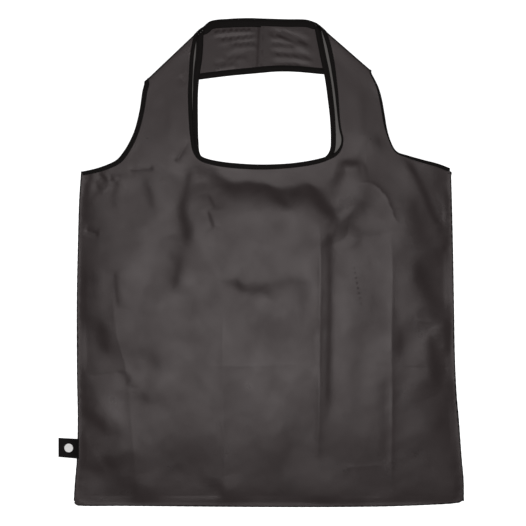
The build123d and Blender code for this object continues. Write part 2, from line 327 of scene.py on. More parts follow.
# Wrinkles of the front panel: kind, height, width and the points they run through.
FRONT_STROKES = [
    # storage creases that run up the bag, and the hollows beside them
    ("shade", 0.9, 6, [(63, 104), (64, 50), (64, 0), (63, -50), (61, -120)]),
    ("crease", 0.6, 5, [(53.5, 106), (54.5, 60), (54, 0), (53.5, -60), (53, -110), (52, -165)]),
    ("shade", 0.9, 7.8, [(47, -2), (48, -30), (49, -64)]),
    ("crease", 0.48, 6.6, [(128, 98), (128.5, 40), (128, -30), (128.5, -100), (127, -192)]),
    ("shade", 1.2, 9.3, [(136, -4), (137, -24), (136, -50)]),
    ("shade", 0.9, 10.8, [(121, -48), (120, -100), (122, -162)]),
    ("crease", 0.21, 4.4, [(-46, 22), (-46, -60), (-45, -130), (-44, -190)]),
    ("crease", 0.2, 6, [(-160, 58), (-159.5, 20), (-155, -20), (-145, -56), (-141, -100), (-134, -190)]),
    ("shade", 0.53, 4.5, [(-156, 52), (-156, 30), (-153, 8)]),
    # storage creases that run across it
    ("crease", -0.18, 3.3, [(-188, -60), (-165, -58.5), (-146, -55)]),
    ("crease", -0.21, 3.3, [(138, -51), (165, -52), (196, -51.5)]),
    ("crease", 0.12, 3.3, [(-66, -50), (0, -49), (42, -48)]),
    ("crease", 0.21, 3.3, [(150, -3), (170, -4), (190, -4)]),
    ("crease", 0.09, 3.3, [(76, -154), (100, -153.5), (122, -152)]),
    # below the neckline
    ("shine", 0.6, 3.2, [(-66, 160), (-40, 153.5), (-5, 151.5), (30, 152.5), (48, 155), (68, 164)]),
    ("shade", 3, 18, [(-74, 138), (-20, 132), (15, 130), (76, 121)]),
    ("shade", 1.7, 8.5, [(-7, 150), (2, 134), (13, 121), (32, 110)]),
    ("shade", 1, 10.8, [(-24, 150), (-14, 138), (-4, 128)]),
    ("shade", 0.77, 10.8, [(-44, 149), (-38, 137), (-28, 128)]),
    ("shade", 2.6, 9.3, [(35, 151), (45, 136), (55, 119), (66, 106), (78, 97)]),
    ("shine", 0.37, 7, [(61, 142), (70, 124), (78, 106)]),
    ("shade", 0.7, 3.9, [(-62, 130), (-57, 119), (-53, 109)]),
    ("shade", 0.7, 3.4, [(-62, 114), (-58, 101), (-54, 89)]),
    ("shade", 0.77, 7.8, [(-68, 152), (-63, 139), (-62, 130)]),
    # the rounded hollow to the right of them
    ("shade", 1.8, 15.5, [(75, 108), (81, 94), (84, 80)]),
    ("shine", 0.3, 4.7, [(66, 94), (69, 79), (78, 70), (90, 74), (101, 88)]),
    # from the left strap's root down the pouch, where it divides
    ("shade", 2.4, 10.1, [(-79, 166), (-81, 146), (-84, 130), (-88, 112), (-85, 98), (-83, 84), (-87, 66)]),
    ("shade", 2, 11.6, [(-85, 80), (-91, 58), (-96, 36), (-99, 16)]),
    ("shine", 0.45, 9.3, [(-80, 104), (-72, 86), (-62, 73), (-56, 60), (-54, 44)]),
    ("shade", 0.8, 7.8, [(-62, 66), (-57, 50), (-52, 36), (-45, 29)]),
    ("shine", 0.33, 6.2, [(-99, 22), (-96, 8), (-88, -1), (-76, -3), (-66, 5)]),
    # left shoulder
    ("shade", 0.7, 7, [(-149, 153), (-155, 138), (-158, 124), (-158, 104)]),
    ("shine", 0.14, 9.3, [(-139, 148), (-147, 128), (-150, 108)]),
    ("shade", 1.3, 10.1, [(-131, 150), (-123, 132), (-118, 116), (-113, 98)]),
    ("shade", 1.2, 3.9, [(-175, 153), (-168, 144), (-162, 136)]),
    ("shine", 0.12, 3.1, [(-167, 147), (-163, 139), (-160, 132)]),
    ("shade", 0.78, 3.9, [(-157, 152), (-160, 144), (-161, 136)]),
    ("shade", 0.78, 3.4, [(-193, 135), (-185, 139), (-178, 142)]),
    ("shade", 0.7, 4.2, [(-177, 144), (-174, 134), (-170, 126)]),
    ("crease", -0.54, 2.6, [(-144, 152), (-130, 154), (-116, 154)]),
    ("shine", 0.13, 2.9, [(-132, 184), (-136, 176), (-140, 168), (-146, 162)]),
    ("crease", -0.54, 2.4, [(-191, 91), (-183, 88.5), (-173, 86)]),
    # across the middle
    ("shade", 1.8, 15, [(-74, 42), (-40, 37), (-20, 29), (0, 32), (30, 38), (62, 32)]),
    ("shine", 0.28, 16, [(-50, -16), (0, -22), (44, -18)]),
    ("shade", 1.3, 9.3, [(-36, 47), (-28, 33), (-20, 20)]),
    ("shade", 1.2, 12.4, [(-18, 40), (0, 26), (15, 10)]),
    ("valley", -0.3, 14, [(-130, 70), (-122, 40), (-118, 8)]),
    ("shade", 0.64, 12.4, [(16, -92), (20, -130), (19, -162)]),
    ("ridge", 0.3, 16, [(0, -20), (-10, -70), (-6, -120)]),
    ("valley", -0.3, 16, [(-86, -30), (-80, -80), (-88, -130)]),
    ("valley", -0.24, 14, [(92, -30), (98, -80), (92, -130)]),
    # right shoulder
    ("shade", 0.8, 4.5, [
        (134, 169), (146, 158), (154, 145), (162, 128), (169, 110), (176, 98), (184, 95), (190, 98),
    ]),
    ("shine", 0.06, 9, [(148, 143), (158, 122), (166, 102), (174, 78)]),
    ("shade", 1.7, 12.4, [(145, 137), (152, 112), (157, 92), (159, 68)]),
    ("shade", 1.9, 6.2, [(69, 160), (80, 160.5), (90, 159.5), (103, 161)]),
    ("shine", 0.23, 3.4, [(70, 154.5), (86, 153.5), (99, 156.5)]),
    ("crease", 0.42, 2.9, [(89, 140), (108, 138), (120, 128), (128, 112), (132, 101), (139, 97)]),
    ("shine", 0.37, 12.4, [(107, 114), (115, 103), (123, 93)]),
    ("shade", 0.77, 12.4, [(92, 130), (98, 116), (100, 102)]),
    # right side
    ("shade", 2.1, 11, [(152, 66), (160, 40), (170, 20), (184, 0)]),
    ("shine", 0.12, 7.8, [(150, 63), (163, 61), (178, 57)]),
    ("shade", 2.2, 9.3, [(166, -12), (171, -34), (175, -58), (181, -78)]),
    ("shine", 0.14, 9.3, [(147, -28), (158, -40), (167, -52)]),
    ("shade", 1.7, 6.2, [(188, 2), (189, -20), (188, -43)]),
    ("shade", 1, 14, [(178, -84), (182, -112), (190, -140)]),
    ("shade", 0.62, 3.9, [(190, 78), (184, 74), (180, 66)]),
    # left side and bottom
    ("shade", 1.7, 9.3, [(-174, 4), (-169, -20), (-162, -46)]),
    ("shade", 0.5, 12, [(-184, 70), (-180, 44), (-178, 16)]),
    ("shade", 1.8, 7, [(-193, -92), (-182, -102), (-172, -110), (-165, -124)]),
    ("shade", 1.6, 9.3, [(-173, -139), (-162, -150), (-149, -159)]),
    ("shine", 0.12, 3.6, [(-180, -132), (-173, -147), (-164, -161)]),
    ("shade", 1, 7.8, [(-191, -154), (-176, -156), (-160, -160)]),
    ("shade", 0.77, 9.3, [(-125, -24), (-116, -44), (-105, -62)]),
    ("shade", 0.62, 4.2, [(-143, -54), (-142, -74)]),
    ("shade", 0.77, 7.8, [(-132, -72), (-121, -92)]),
    ("shade", 1, 7.8, [(-138, -162), (-134, -191)]),
    ("shade", 1, 6.2, [(-50, -164), (-45, -191)]),
    ("valley", -0.36, 12, [(86, -166), (108, -175), (134, -185)]),
    # straps
    ("crease", -0.6, 2.4, [(-80, 184), (-87, 173), (-95, 160)]),
    ("crease", -0.54, 2.6, [(-91, 251), (-87.5, 245), (-84, 239)]),
    ("shade", 0.64, 7.8, [(-104, 232), (-103, 205), (-106, 178)]),
    ("shine", 0.2, 7.8, [(-92, 237), (-91, 210), (-94, 182)]),
    ("shade", 0.64, 9.3, [(98, 244), (100, 214), (102, 178)]),
    ("shine", 0.2, 7.8, [(84, 248), (88, 215), (91, 182)]),
    ("shade", 0.77, 7.8, [(110, 196), (115, 182), (123, 170)]),
]
FRONT_STROKES = [(k, h, w, through(p, 6.0)) for k, h, w, p in FRONT_STROKES]

# Puckers of the handle band: the cloth runs lengthways between its two diagonal folds.
BAND_STROKES = [
    ("shine", 0.24, 2.1, [(-60, 300.5), (-38, 301), (-10, 298.5)]),
    ("shade", 1.4, 1.9, [(-62, 294), (-36, 297), (-9, 297)]),
    ("shade", 1, 1.8, [(-56, 286), (-32, 288.5), (-9, 291)]),
    ("shine", 0.15, 1.9, [(-50, 290), (-30, 292.5), (-10, 294)]),
    ("shade", 0.88, 1.8, [(-40, 281), (-24, 282), (-9, 283)]),
    ("shade", 0.71, 1.9, [(-46, 266), (-34, 268), (-20, 270)]),
    ("shade", 0.71, 1.9, [(-56, 259), (-44, 261), (-30, 263)]),
    ("shine", 0.17, 2.3, [(-64, 252), (-40, 256), (-14, 259)]),
    ("shade", 1.4, 2.1, [(-2, 292), (14, 290), (30, 285), (46, 280)]),
    ("shine", 0.15, 2.6, [(4, 297), (22, 296), (40, 291)]),
    ("shade", 0.88, 1.9, [(0, 272), (16, 271), (34, 269), (50, 264)]),
    ("shade", 0.71, 1.9, [(2, 282), (18, 281), (30, 278)]),
    ("shine", 0.15, 2.3, [(4, 262), (24, 264), (44, 260)]),
    ("shade", 0.88, 1.9, [(4, 259.5), (26, 261), (48, 256.5)]),
]
BAND_STROKES = [(k, h, w, through(p, 5.0)) for k, h, w, p in BAND_STROKES]

# Heights of the cloth's middle surface, and the least gap between front and back.
SEAM_Z = 1.0
BACK_MID_Z = 0.32
FRONT_MID_Z = 3.7
FRONT_STRAP_Z = 4.0
BACK_STRAP_Z = 2.75
BACK_BAND_Z = BACK_STRAP_Z - 2 * BACK_RADIUS
FRONT_BAND_Z = FRONT_STRAP_Z - 2 * FRONT_RADIUS
LOWEST_GAP = 0.55
TOP_LIMIT = 7.4
# How far the front sinks below the neckline, and how strong its puckers at the side seams are.
NECK_DROP = 1.8
SIDE_PUCKER = 0.1


def edge_distance(x, y):
    """Distance to the nearer side seam and to the bottom seam."""
    left = x - side_at(SIDE_LEFT, y)
    right = side_at(SIDE_RIGHT, y) - x
    return np.maximum(np.minimum(left, right), 0), np.maximum(y - BOTTOM, 0)


def back_height(x, y):
    """Height of the back panel over the surface that the bag lies on."""
    side, low = edge_distance(x, y)
    held = np.exp(-side / 6.0) * (1 - smooth((y - SHOULDER) / 10)) + np.exp(-low / 6.0)
    climb = smooth((y - (SHOULDER - 14)) / 60)
    wavy = np.clip(wave_height(BACK_WAVES, x, y) + 0.4, 0, 1.5)
    flat = BACK_MID_Z + 0.5 * smooth((y - (SHOULDER - 32)) / 20) + 0.25 * wavy
    return flat * (1 - climb) + BACK_STRAP_Z * climb + np.minimum(held, 1) * (SEAM_Z - 0.5)


def front_height(x, y):
    """Height of the front panel: pillowed between its seams, with all its wrinkles."""
    side, low = edge_distance(x, y)
    held = 1 - smooth((y - (SHOULDER - 18)) / 40)
    wide = np.where(x < 0, 26.0, 34.0)
    side_lift = 1 - (0.5 * np.exp(-side / 12.0) + 0.5 * np.exp(-side / wide)) * (0.3 + 0.7 * held)
    low_lift = 1 - 0.4 * np.exp(-low / 10.0) - 0.6 * np.exp(-low / 30.0)
    neck = np.exp(-((x / 78) ** 4)) * smooth((y - (SHOULDER - 52)) / 52)
    level = FRONT_MID_Z - NECK_DROP * neck
    z = SEAM_Z + (level - SEAM_Z) * side_lift * low_lift
    strength = np.minimum(side / 9.0, 1) * np.minimum(low / 9.0, 1)
    strength = np.where(y > SHOULDER, 0.6, strength)
    z = z + strength * (wave_height(BROAD, x, y) + wave_height(SMALL, x, y))
    pucker = np.sin(y * 0.43 + 2.6 * np.sin(y * 0.071)) * np.sin(y * 0.037 + 1.0)
    z = z + SIDE_PUCKER * pucker * np.exp(-side / 7.0) * held * smooth(side / 2.0)
    share = np.where(y > SHOULDER, 1.0, 0.25 + 0.75 * strength)
    for kind, height, width, line in FRONT_STROKES:
        z = z + stroke_height(kind, height, width, line, x, y) * share
    # kept clear of the back, and rounded off at the top
    floor = back_height(x, y) + LOWEST_GAP
    z = floor + np.logaddexp(0, (z - floor) * 4) / 4
    return TOP_LIMIT - np.logaddexp(0, (TOP_LIMIT - z) * 1.5) / 1.5


def band_height(x, y, level, relief):
    """Height of a handle band, drawn in along its centre seam."""
    seam_x = np.interp(y, [SEAM_LOW[1], SEAM_TOP[1]], [SEAM_LOW[0], SEAM_TOP[0]])
    z = level + 0 * x
    if relief:
        for kind, height, width, line in BAND_STROKES:
            z = z + 0.8 * stroke_height(kind, height, width, line, x, y)
        z = z - 0.7 * np.exp(-np.abs(x - seam_x) / 1.6)
        z = np.maximum(z, FRONT_BAND_Z + 0.45)
    return z


def lay(straps, base, strap_z, band_z, relief, p, h):
    """Where flat pattern points of a panel lie, h above its middle surface, as n x 3."""
    x, y = p[:, 0], p[:, 1]
    z = base(x, y)
    out = np.stack([x, y, z + h], axis=1)
    for strap in straps.values():
        mine = np.flatnonzero((x * strap.side > 0) & (y > CUT_STRAP - 20))
        if not len(mine):
            continue
        q, lift, past, r = p[mine], h[mine], strap.past(p[mine]), strap.radius
        calm = smooth(-past / 16.0)
        top = strap_z + (z[mine] - strap_z) * calm
        turn = np.clip(past / r, 0, math.pi)
        foot = q - np.maximum(past, 0)[:, None] * strap.out
        on_arc = foot + strap.out * ((r + lift) * np.sin(turn))[:, None]
        arc_z = strap_z - r + (r + lift) * np.cos(turn)
        back = strap.refold(q)
        deep = smooth((past - math.pi * r) / 10.0)
        band = band_z + (band_height(back[:, 0], back[:, 1], band_z, relief) - band_z) * deep
        placed = np.column_stack([q, top + lift])
        bent = (past > 0) & (past < math.pi * r)
        folded = past >= math.pi * r
        placed[bent] = np.column_stack([on_arc, arc_z])[bent]
        placed[folded] = np.column_stack([back, band - lift])[folded]
        out[mine] = placed
    return out


def lay_front(p, h):
    return lay(FRONT_STRAPS, front_height, FRONT_STRAP_Z, FRONT_BAND_Z, False, p, h)


def lay_back(p, h):
    return lay(BACK_STRAPS, back_height, BACK_STRAP_Z, BACK_BAND_Z, True, p, h)


# How much more than the relief itself the shading normals are tilted.
SHARPER = 1.3


def normals_of(place, p, h, step=0.4):
    """Shading normals of the laid surface."""
    dx, dy = np.array([step, 0]), np.array([0, step])
    along_x = place(p + dx, h) - place(p - dx, h)
    along_y = place(p + dy, h) - place(p - dy, h)
    n = np.cross(along_x, along_y)
    n[:, :2] *= SHARPER
    return n / np.maximum(np.linalg.norm(n, axis=1), 1e-9)[:, None]


# ---- materials

class Shading:
    """A procedural material in the making, over its surface's pattern in millimetres."""

    def __init__(self, name):
        self.material = bpy.data.materials.new(name)
        self.material.use_nodes = True
        self.nodes = self.material.node_tree.nodes
        self.shader = self.nodes["Principled BSDF"]
        uv = self.nodes.new("ShaderNodeUVMap")
        uv.uv_map = "pattern"
        self.pattern = uv.outputs["UV"]

    def feed(self, node, inputs):
        """Set a node's inputs to values or link them to other nodes' outputs."""
        for name, value in inputs.items():
            if isinstance(value, bpy.types.NodeSocket):
                self.material.node_tree.links.new(value, node.inputs[name])
            else:
                node.inputs[name].default_value = value

    def node(self, kind, inputs):
        made = self.nodes.new(kind)
        self.feed(made, inputs)
        return made

    def math(self, operation, a, b):
        made = self.node("ShaderNodeMath", {0: a, 1: b})
        made.operation = operation
        return made.outputs["Value"]

    def noise(self, scale, detail=3.0):
        """Noise stretched by a scale for each direction."""
        mapping = self.node("ShaderNodeMapping", {"Vector": self.pattern, "Scale": scale})
        source = mapping.outputs["Vector"]
        made = self.node("ShaderNodeTexNoise", {"Vector": source, "Scale": 1.0, "Detail": detail})
        return made.outputs["Fac"]

    def weave(self, pitch):
        """Height of a plain weave: two sets of threads, each a pitch apart, over and under."""
        heights = []
        for direction in ("X", "Y"):
            wave = self.node("ShaderNodeTexWave", {
                "Vector": self.pattern, "Scale": 0.314 / pitch, "Distortion": 0.6, "Detail": 1.0,
            })
            wave.wave_type = "BANDS"
            wave.bands_direction = direction
            heights.append(wave.outputs["Fac"])
        return self.math("MULTIPLY", *heights)


def cloth_material(name, dark, light, roughness, pitch, bump, gloss):
    """Plain-weave polyester: fine threads, slubs along both directions and soft patches."""
    made = Shading(name)
    threads = made.math("ADD", made.noise((0.35, 2.6, 1.0)), made.noise((2.6, 0.35, 1.0)))
    patches = made.noise((0.03, 0.03, 1.0), 4.0)
    tone = made.math("ADD", threads, made.math("MULTIPLY", patches, 2.0))
    ramp = made.node("ShaderNodeValToRGB", {"Fac": made.math("DIVIDE", tone, 4.0)})
    for element, position, shade in zip(ramp.color_ramp.elements, (0.36, 0.64), (dark, light)):
        element.position = position
        element.color = (*shade, 1.0)
    rough = made.node("ShaderNodeMapRange", {
        "Value": patches, "From Min": 0.3, "From Max": 0.7,
        "To Min": roughness - 0.05, "To Max": roughness + 0.05,
    })
    grain = made.math("ADD", made.weave(pitch), threads)
    bumped = made.node("ShaderNodeBump", {"Height": grain, "Strength": bump, "Distance": 0.0001})
    made.feed(made.shader, {
        "Base Color": ramp.outputs["Color"], "Roughness": rough.outputs["Result"],
        "Normal": bumped.outputs["Normal"], "Specular IOR Level": gloss,
        "Specular Tint": (1.0, 0.92, 0.92, 1.0), "Sheen Weight": 0.03, "Sheen Roughness": 0.4,
    })
    return made.material


# Darkest and lightest colour, roughness, pitch of the weave, bump and gloss.
outside = cloth_material(
    "bag_cloth", (0.019, 0.0135, 0.0135), (0.027, 0.0195, 0.0195), 0.32, 0.42, 0.13, 0.27)
inside = cloth_material(
    "bag_cloth_wrong_side", (0.09, 0.085, 0.08), (0.13, 0.125, 0.12), 0.42, 0.42, 0.3, 0.27)
# The bag cloth again, darkened to near black: painted shade for the dark outline where the cloth turns
# down, on the rolled seams and on the turn of each strap's diagonal fold.
edge_shade_cloth = cloth_material(
    "bag_cloth_painted_edge_shade", (0.003, 0.0024, 0.0024), (0.007, 0.0056, 0.0056), 0.55, 0.42, 0.3, 0.15)
tape_cloth = cloth_material(
    "binding_tape", (0.0016, 0.0012, 0.001), (0.004, 0.0032, 0.0028), 0.62, 0.7, 0.6, 0.12)
thread = cloth_material(
    "sewing_thread", (0.003, 0.0026, 0.0025), (0.008, 0.007, 0.0065), 0.5, 0.25, 0.5, 0.3)
label_cloth = cloth_material(
    "label_tape", (0.0016, 0.0014, 0.0014), (0.004, 0.0036, 0.0036), 0.6, 0.5, 0.7, 0.15)
disc_cloth = cloth_material(
    "label_disc", (0.86, 0.85, 0.84), (0.96, 0.95, 0.94), 0.6, 0.5, 0.4, 0.5)


# ---- meshes

def link(name, data):
    """A new object in the scene."""
    made = bpy.data.objects.new(name, data)
    bpy.context.scene.collection.objects.link(made)
    return made


def make_object(name, vertices, faces, materials, face_material=None, uv=None, normals=None):
    """An object in metres from vertices in millimetres, smooth, with its pattern as its UV map."""
    mesh = bpy.data.meshes.new(name)
    mesh.from_pydata((np.asarray(vertices, float) * MM).tolist(), [], [list(map(int, f)) for f in faces])
    for material in materials:
        mesh.materials.append(material)
    mesh.polygons.foreach_set("use_smooth", np.ones(len(mesh.polygons), bool))
    if face_material is not None:
        mesh.polygons.foreach_set("material_index", np.asarray(face_material, np.int32))
    loops = np.zeros(len(mesh.loops), np.int32)
    mesh.loops.foreach_get("vertex_index", loops)
    pattern = np.asarray(uv if uv is not None else np.asarray(vertices)[:, :2], float)
    layer = mesh.uv_layers.new(name="pattern")
    layer.data.foreach_set("uv", pattern[loops].astype(np.float32).ravel())
    if normals is not None:
        mesh.normals_split_custom_set_from_vertices(np.asarray(normals, float).tolist())
    mesh.update()
    return link(name, mesh)


def tube(name, rows, at, across, inside_out, material):
    """A tube, open at its ends, from its rows of points and their pattern coordinates."""
    rows = np.array(rows)
    k, n = rows.shape[:2]
    faces = [
        (i * n + s, i * n + s + 1, (i + 1) % k * n + s + 1, (i + 1) % k * n + s)
        for i in range(k) for s in range(n - 1)
    ]
    if inside_out:
        faces = [f[::-1] for f in faces]
    uv = np.array([[(a, b) for a in at] for b in across]).reshape(-1, 2)
    made = make_object(name, rows.reshape(-1, 3), faces, [material], uv=uv)
    return made


def ring_faces(a, b, sides):
    """Faces between two rings of vertices, which begin at a and at b."""
    return [(a + i, b + i, b + (i + 1) % sides, a + (i + 1) % sides) for i in range(sides)]


def inside_outline(points, outline):
    """Which points lie inside a closed outline."""
    hits = np.zeros(len(points), int)
    x, y = points[:, 0], points[:, 1]
    for a, b in zip(outline, np.roll(outline, -1, axis=0)):
        if a[1] != b[1]:
            crosses = (a[1] > y) != (b[1] > y)
            hits += crosses & (x < a[0] + (y - a[1]) * (b[0] - a[0]) / (b[1] - a[1]))
    return hits % 2 == 1


def filled(outline, step, folds=()):
    """Triangles that fill an outline: its own points, a staggered grid, and rows along each fold."""
    low, high = outline.min(0), outline.max(0)
    ys = np.arange(low[1] + step * 0.5, high[1], step * 0.87)
    xs = np.arange(low[0], high[0] + step, step)
    gx, gy = np.meshgrid(xs, ys)
    gx += (np.arange(len(ys)) % 2)[:, None] * step / 2
    grid = np.stack([gx.ravel(), gy.ravel()], axis=1)
    for strap in folds:
        past, arc = strap.past(grid), math.pi * strap.radius
        grid = grid[(past < -0.5 * step) | (past > arc + 0.5 * step)]
        reach = np.arange(-60, 160, step)
        rows = [strap.foot + strap.out * arc * k / FOLD_ROWS for k in range(FOLD_ROWS + 1)]
        grid = np.vstack([grid, *[row + reach[:, None] * strap.along for row in rows]])
    grid = grid[inside_outline(grid, outline)]
    far = np.ones(len(grid), bool)
    for a, b in zip(outline, np.roll(outline, -1, axis=0)):
        close = np.flatnonzero((np.abs(grid - (a + b) / 2) < np.abs(b - a) / 2 + step).all(1))
        far[close[from_segment(grid[close], a, b)[1] < 0.45 * step]] = False
    points = np.vstack([outline, grid[far]])
    n = len(outline)
    verts = [Vector(p) for p in points]
    edges = [(i, (i + 1) % n) for i in range(n)]
    made = delaunay_2d_cdt(verts, edges, [list(range(n))], 1, 1e-5)
    triangles = np.array(made[2])
    used, renumbered = np.unique(triangles, return_inverse=True)
    return np.array([tuple(v) for v in made[0]])[used], renumbered.reshape(triangles.shape)


def boundary_of(triangles):
    """The directed edges that only one triangle uses."""
    edges = {edge: True for a, b, c in triangles for edge in ((a, b), (b, c), (c, a))}
    return [edge for edge in edges if edge[::-1] not in edges]


def sheet_piece(name, outline, place, step, outside_up, folds=()):
    """A sheet of cloth with both its faces and its cut edges, laid by place()."""
    points, triangles = filled(densify(outline, step), step, folds)
    n = len(points)
    half = np.full(n, CLOTH / 2)
    top, under = place(points, half), place(points, -half)
    normals = normals_of(place, points, 0 * half)
    rim = boundary_of(triangles.tolist())
    faces = [*triangles.tolist(), *(triangles[:, ::-1] + n).tolist()]
    faces += [(b, a, a + n, b + n) for a, b in rim]
    up, down = (0, 1) if outside_up else (1, 0)
    kinds = np.array([up] * len(triangles) + [down] * len(triangles) + [0] * len(rim))
    # Faces on the turn of each diagonal fold take the darkened bag cloth: painted shade along the fold.
    for strap in folds:
        past = strap.past(points[triangles].mean(axis=1))
        fold_shade = (past > 0.25 * strap.radius) & (past < math.pi * strap.radius)
        kinds[:len(triangles)][fold_shade] = 2
    made = make_object(
        name, np.vstack([top, under]), faces, [outside, inside, edge_shade_cloth], kinds,
        np.vstack([points, points]), np.vstack([normals, -normals]),
    )
    return made


def bend(piece):
    """Bakes the piece's placement into its mesh."""
    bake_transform(piece)


def panel_pieces(face, edges, place, step, outside_up, straps):
    """One panel as five sheets: three across the pouch's folds and one for each strap."""
    outline = whole_outline(edges)
    bands = {
        "bottom": (BOTTOM - 9, CUT_MIDDLE, "low"),
        "middle": (CUT_MIDDLE, CUT_UPPER, "high"),
        "mouth": (CUT_UPPER, CUT_STRAP, "mouth"),
    }
    made = {}
    for row, (low, high, which) in bands.items():
        part = clip(clip(outline, 1, low, True), 1, high, False)
        made[row] = (sheet_piece(f"{face}_cloth_{row}", part, place, step, outside_up), which)
    for hand, above in (("left", False), ("right", True)):
        part = clip(clip(outline, 0, 0.0, above), 1, CUT_STRAP, True)
        name = f"{face}_handle_cloth_{hand}"
        made[hand] = (sheet_piece(name, part, place, step, outside_up, [straps[hand]]), "handle")
    return made


def along_path(path):
    """Unit tangents and the normals to their left."""
    tangent = np.gradient(path, axis=0)
    tangent /= np.maximum(np.linalg.norm(tangent, axis=1), 1e-9)[:, None]
    return tangent, np.stack([-tangent[:, 1], tangent[:, 0]], axis=1)


def thin(path, step):
    """The path again with points step apart, and how far along it each of them is."""
    run = run_along(path)
    at = np.linspace(0, run[-1], max(3, round(run[-1] / step) + 1))
    return np.stack([np.interp(at, run, path[:, i]) for i in range(2)], axis=1), at


# A binding's width, how far its fold stands out from the cloth's edge, and half its section from
# its sewn edge to its fold: share of its width, height.
TAPE_WIDTH = 4.9
TAPE_LIP = 0.35
TAPE_HALF = [
    (1.0, 0.2), (0.98, 0.42), (0.91, 0.5), (0.84, 0.34), (0.76, 0.5), (0.52, 0.66),
    (0.24, 0.62), (0.05, 0.42), (0.0, 0.16),
]
TAPE_SECTION = TAPE_HALF + [(u, -h) for u, h in TAPE_HALF[::-1]]

# How wide each binding looks, as a share of its width, by height up the bag.
TAPE_SHOWS = {
    "front_neck_left": [(160, 1.0), (185, 0.8), (300, 0.75)],
    "front_neck_right": [(163, 1.0), (171, 0.62), (181, 0.34), (206, 0.38), (236, 0.65), (262, 0.9)],
    "back_neck_left": [(236, 1.0), (262, 1.4), (300, 1.5)],
    "back_neck_right": [(200, 1.0), (262, 1.25), (300, 1.25)],
    "front_armhole_left": [(150, 0.75), (166, 1.0), (300, 1.0)],
    "front_armhole_right": [
        (150, 0.8), (165, 0.55), (172, 0.26), (186, 0.28), (202, 0.55), (228, 0.5), (246, 0.3),
    ],
}


def tape_shows(face, edge, path):
    """The share of a binding's width that shows at each point of a path."""
    out = np.ones(len(path))
    for hand, side in (("left", path[:, 0] < 0), ("right", path[:, 0] >= 0)):
        table = TAPE_SHOWS.get(f"{face}_{edge}_{hand}")
        if table:
            heights, shares = zip(*table)
            out[side] = np.interp(path[side, 1], heights, shares)
    return out


def tape_piece(name, path, inward, place, seed, shows):
    """A binding: one tape folded round the cloth's edge. inward is 1 if the cloth is on its left."""
    line, at = thin(path, 2.0)
    width = TAPE_WIDTH * np.interp(at, run_along(path), shows)
    _, left = along_path(line)
    phases = np.random.default_rng(seed).uniform(0, 2 * math.pi, 3)
    ripple = 0.07 * np.sin(at * 0.55 + phases[0] + 1.4 * np.sin(at * 0.06 + phases[1]))
    sway = 1 + 0.05 * np.sin(at * 0.05 + phases[2])
    rows = []
    for u, h in TAPE_SECTION:
        points = line + left * (inward * (u * width * sway - TAPE_LIP * (1 - u)))[:, None]
        rows.append(place(points, 1.1 * h + ripple * (1 - abs(2 * u - 1)) * np.sign(h)))
    across = [u * TAPE_WIDTH for u, _ in TAPE_SECTION]
    return tube(name, rows, at, across, inward > 0, tape_cloth)


# Stitches: how far apart, how long and wide, and their place on a binding.
STITCH_PITCH = 3.0
STITCH_LENGTH = 2.1
STITCH_WIDTH = 0.34
STITCH_INSET = 0.84
STITCH_LIFT = 0.42
# A stitch's section, and its rings: place along it, share of its width, rise.
STITCH_SECTION = [(-0.5, 0.0), (0.0, 0.6), (0.5, 0.0), (0.0, -0.6)]
STITCH_RINGS = [
    (-0.5, 0.15, -0.14), (-0.32, 0.9, 0.02), (0.0, 1.0, 0.08), (0.32, 0.9, 0.02), (0.5, 0.15, -0.14),
]


def stitch_piece(name, path, inward, inset, lift, place):
    """A row of lockstitches along a path, each a small rounded bar that dips at both ends."""
    line, at = thin(path, STITCH_PITCH)
    inset = np.interp(at, run_along(path), inset)[:, None]
    tangent, left = along_path(line)
    centre = line + left * inward * inset
    count = len(line) - 2
    middle, t, side = centre[1:-1], tangent[1:-1], left[1:-1]
    vertices, faces = [], []
    for s, size, dip in STITCH_RINGS:
        for a, b in STITCH_SECTION:
            points = middle + t * s * STITCH_LENGTH + side * a * STITCH_WIDTH * size
            vertices.append(place(points, np.full(count, lift + dip + b * STITCH_WIDTH * size)))
    rings, sides = len(STITCH_RINGS), len(STITCH_SECTION)
    for k in range(count):
        for r in range(rings - 1):
            for i in range(sides):
                j = (i + 1) % sides
                quad = (r * sides + i, r * sides + j, (r + 1) * sides + j, (r + 1) * sides + i)
                faces.append([q * count + k for q in quad])
        faces.append([i * count + k for i in range(sides)][::-1])
        faces.append([((rings - 1) * sides + i) * count + k for i in range(sides)])
    made = make_object(name, np.array(vertices).reshape(-1, 3), faces, [thread])
    return made


SEAM_SIDES = 12


def seam_piece(name, path, half_width, half_height, height, material, seed):
    """A rolled seam: a flat tube of turned cloth with small puckers, along a path."""
    line, at = thin(path, 2.5)
    _, left = along_path(line)
    phases = np.random.default_rng(seed).uniform(0, 2 * math.pi, 2)
    pucker = 0.12 * np.sin(at * 0.83 + phases[0] + 1.7 * np.sin(at * 0.09 + phases[1]))
    rows = []
    for k in range(SEAM_SIDES):
        angle = 2 * math.pi * k / SEAM_SIDES
        points = line + left * (half_width * math.cos(angle) * (1 + 0.6 * pucker))[:, None]
        z = height + half_height * math.sin(angle) * (1 + pucker)
        rows.append(np.column_stack([points, z]))
    across = [1.1 * k for k in range(SEAM_SIDES)]
    return tube(name, rows, at, across, True, material)


def between(path, low, high):
    """The stretch of a side line between two heights, with its ends exactly there."""
    order = np.argsort(path[:, 1])
    heights = np.arange(low, high, 2.0)
    heights = np.append(heights[heights < high - 0.5], high)
    return np.stack([np.interp(heights, path[order, 1], path[order, 0]), heights], axis=1)


# ---- the bag

front = panel_pieces("front", FRONT_EDGES, lay_front, FINE, True, FRONT_STRAPS)
back = panel_pieces("back", BACK_EDGES, lay_back, COARSE, False, BACK_STRAPS)
for face, pieces in (("front", front), ("back", back)):
    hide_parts(f"{face}_panel_bottom")
    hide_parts(f"{face}_panel_middle", f"{face}_panel_upper")
    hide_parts(f"{face}_panel_mouth")
    for hand in ("left", "right"):
        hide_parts(f"{face}_handle_{hand}")
    for piece, which in pieces.values():
        bend(piece)


